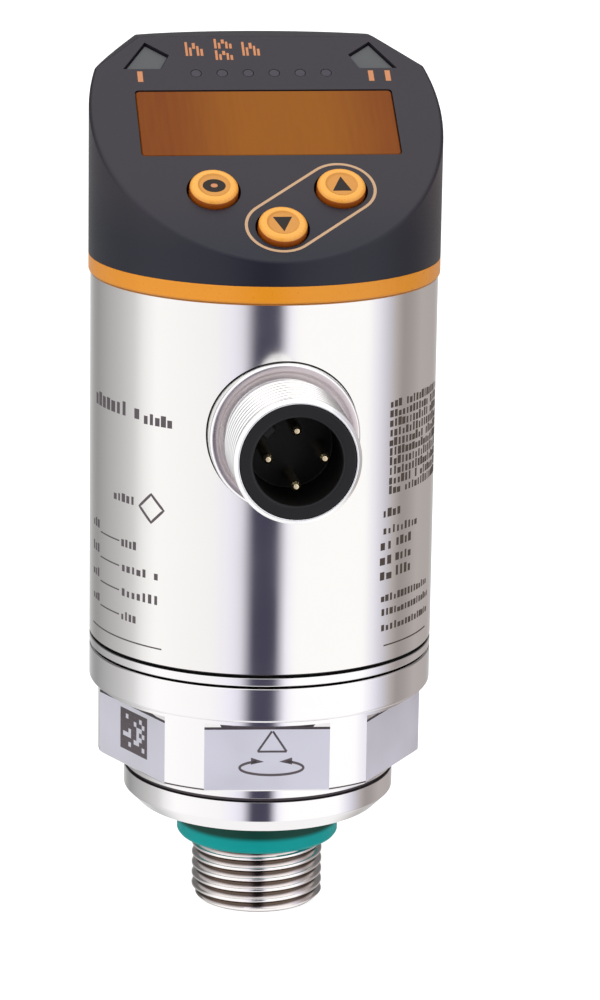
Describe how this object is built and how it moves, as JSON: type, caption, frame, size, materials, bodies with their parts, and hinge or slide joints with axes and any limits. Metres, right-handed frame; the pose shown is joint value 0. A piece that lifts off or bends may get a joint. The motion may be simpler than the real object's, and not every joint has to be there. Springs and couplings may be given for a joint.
{
  "type": "pressure sensor",
  "caption": "Compact pressure sensor: threaded stainless process connection, swivelling round housing, slanted display head with push buttons and a round cable connector.",
  "frame": {"origin": "on the long axis, in the sealing plane under the collar of the process connection", "axes": "+Z along the long axis from the thread up to the head; the display and the cable connector face -Y"},
  "size_m": [0.0344, 0.0443, 0.0859],
  "materials": {
    "stainless_housing": "fine turned and polished stainless steel",
    "stainless_turned": "fine turned stainless steel",
    "spring_steel": "spring steel",
    "tinned_wire": "tinned copper wire",
    "capacitor_can": "drawn aluminium can",
    "gold_plated": "gold plated contacts",
    "green_rubber": "green sealing rubber",
    "black_rubber": "black sealing rubber",
    "dark_plastic": "fine grained dark grey moulding",
    "orange_plastic": "orange moulding",
    "orange_button": "smooth orange moulding",
    "black_plastic": "black moulding",
    "inner_plastic": "dark moulding",
    "amber_window": "amber tinted window",
    "smoke_window": "translucent grey window",
    "light_pipe": "translucent pipe",
    "led_white": "moulded emitter",
    "display_black": "dark display module",
    "switch_black": "switch body",
    "chip_black": "moulded package",
    "circuit_board": "green glass epoxy board",
    "flex_amber": "polyimide flex",
    "cable_grey": "cable sheath",
    "ceramic_white": "ground alumina"
  },
  "bodies": {
    "root": {"process_fitting": "stainless_turned", "thread_seal": "green_rubber", "cell_seal": "black_rubber", "measuring_cell": "ceramic_white", "clamp_ring": "stainless_turned", "cell_board": "circuit_board", "cell_cable": "cable_grey", "swivel_seal": "black_rubber", "swivel_clip": "spring_steel", "stop_pin": "spring_steel"},
    "housing": {"housing_tube": "stainless_housing", "bearing_bush": "stainless_turned", "accent_ring": "orange_plastic", "head_cap": "dark_plastic", "cap_seal": "black_rubber", "display_window": "amber_window", "display_module": "display_black", "display_board": "circuit_board", "light_window_left": "smoke_window", "light_window_right": "smoke_window", "status_leds": "led_white", "indicator_pipes": "light_pipe", "indicator_leds": "led_white", "push_switches": "switch_black", "board_carrier": "inner_plastic", "main_board": "circuit_board", "processor_chip": "chip_black", "interface_chip": "chip_black", "filter_capacitors": "capacitor_can", "flex_link": "flex_amber", "connector_shell": "stainless_turned", "connector_insert": "black_plastic", "connector_pins": "gold_plated", "contact_board": "circuit_board", "link_wires": "tinned_wire"},
    "enter_button": {"enter_button": "orange_button"},
    "down_button": {"down_button": "orange_button"},
    "up_button": {"up_button": "orange_button"}
  },
  "joints": [
    {"name": "housing_swivel", "type": "hinge", "parent": "root", "child": "housing", "pos_m": [0, 0, 0.02], "axis": [0, 0, 1], "range_deg": [-172.5, 172.5]},
    {"name": "enter_button_press", "type": "slide", "parent": "housing", "child": "enter_button", "axis": [0, 0.5592, -0.829], "range_m": [0, 0.0004], "stiffness_N_per_m": 2500, "springref_m": -0.0003},
    {"name": "down_button_press", "type": "slide", "parent": "housing", "child": "down_button", "axis": [0, 0.5592, -0.829], "range_m": [0, 0.0004], "stiffness_N_per_m": 2500, "springref_m": -0.0003},
    {"name": "up_button_press", "type": "slide", "parent": "housing", "child": "up_button", "axis": [0, 0.5592, -0.829], "range_m": [0, 0.0004], "stiffness_N_per_m": 2500, "springref_m": -0.0003}
  ]
}
